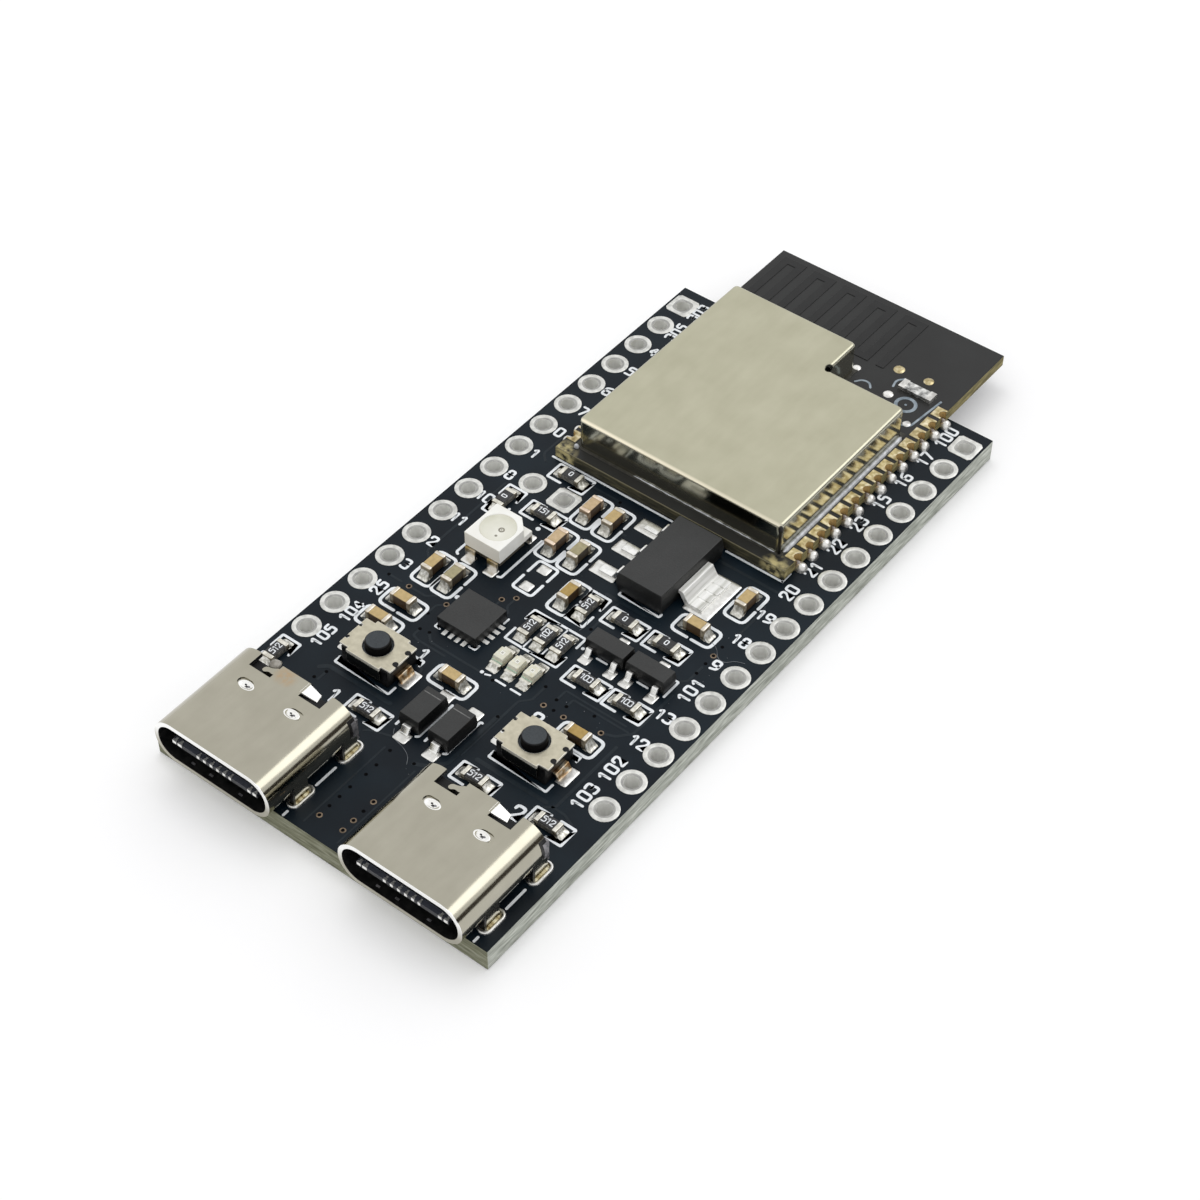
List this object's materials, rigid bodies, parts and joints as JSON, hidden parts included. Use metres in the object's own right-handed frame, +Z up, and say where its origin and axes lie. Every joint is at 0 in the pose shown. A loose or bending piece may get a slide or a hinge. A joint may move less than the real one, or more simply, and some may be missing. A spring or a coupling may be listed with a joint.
{
  "type": "wifi module",
  "caption": "Wireless development board with a shielded radio module, printed antenna, two cable sockets, push buttons and two rows of header holes.",
  "frame": {"origin": "centre of the two rows of header holes, on the carrier board's underside", "axes": "+X across the board, +Y towards the antenna, +Z up, out of the side with the parts"},
  "size_m": [0.025, 0.059, 0.0049],
  "materials": {
    "board_mask": "black solder mask over glass fibre, satin",
    "tinned": "tinned copper and solder, bright",
    "gold_plate": "gold plating, bright",
    "copper_under_mask": "track under black mask, satin",
    "can_steel": "nickel silver sheet, satin",
    "socket_steel": "nickel plated steel, polished",
    "black_mould": "black moulding, matte",
    "chip_case": "black epoxy case, matte",
    "frame_steel": "stamped steel, satin",
    "plunger_black": "black moulding, matte",
    "spring_steel": "spring steel, bright",
    "bronze": "tinned phosphor bronze, satin",
    "lead_tin": "tinned leads, satin",
    "ceramic_tan": "fired capacitor ceramic, matte",
    "ceramic_white": "alumina, matte",
    "glaze_black": "black glaze, satin",
    "lamp_white": "white moulding, satin",
    "lamp_lens": "clear resin with a cream tint, gloss",
    "indicator_lens": "clear resin, gloss",
    "indicator_board": "white laminate, matte",
    "die": "light-giving chip, matte",
    "crystal_can": "metal lid, satin"
  },
  "bodies": {
    "root": {"main_board": "board_mask", "header_lands": "tinned", "spare_header_lands": "tinned", "part_lands": "tinned", "chip_solder": "tinned", "module_board": "board_mask", "module_pin_lands": "gold_plate", "module_solder": "tinned", "shield_can": "can_steel", "shield_can_land": "tinned", "antenna_track": "copper_under_mask", "radio_chip": "chip_case", "memory_chip": "chip_case", "module_crystal": "crystal_can", "module_small_chips": "ceramic_tan", "usb_solder": "tinned", "regulator_body": "chip_case", "regulator_leads": "lead_tin", "regulator_tab": "lead_tin", "bridge_chip_body": "chip_case", "bridge_chip_lands": "tinned", "rgb_lamp_housing": "lamp_white", "rgb_lamp_lens": "lamp_lens", "rgb_lamp_dies": "die", "rgb_lamp_leads": "lead_tin", "capacitor_bodies": "ceramic_tan", "capacitor_terminals": "tinned", "resistor_bodies": "ceramic_white", "resistor_glazes": "glaze_black", "resistor_terminals": "tinned", "indicator_boards": "indicator_board", "indicator_lenses": "indicator_lens", "indicator_terminals": "tinned", "diode_bodies": "chip_case", "diode_leads": "lead_tin", "transistor_bodies": "chip_case", "transistor_leads": "lead_tin", "usb_1_shell": "socket_steel", "usb_1_insulator": "black_mould", "usb_1_plate": "socket_steel", "usb_1_contacts": "gold_plate", "usb_2_shell": "socket_steel", "usb_2_insulator": "black_mould", "usb_2_plate": "socket_steel", "usb_2_contacts": "gold_plate", "button_1_base": "black_mould", "button_1_frame": "frame_steel", "button_1_dome": "spring_steel", "button_1_terminals": "bronze", "button_2_base": "black_mould", "button_2_frame": "frame_steel", "button_2_dome": "spring_steel", "button_2_terminals": "bronze"},
    "button_1": {"button_1_plunger": "plunger_black"},
    "button_2": {"button_2_plunger": "plunger_black"}
  },
  "joints": [
    {"name": "button_1_press", "type": "slide", "parent": "root", "child": "button_1", "axis": [0, 0, -1], "range_m": [0, 0.00025], "stiffness_N_per_m": 6400, "deforming": ["button_1_dome"]},
    {"name": "button_2_press", "type": "slide", "parent": "root", "child": "button_2", "axis": [0, 0, -1], "range_m": [0, 0.00025], "stiffness_N_per_m": 6400, "deforming": ["button_2_dome"]}
  ]
}
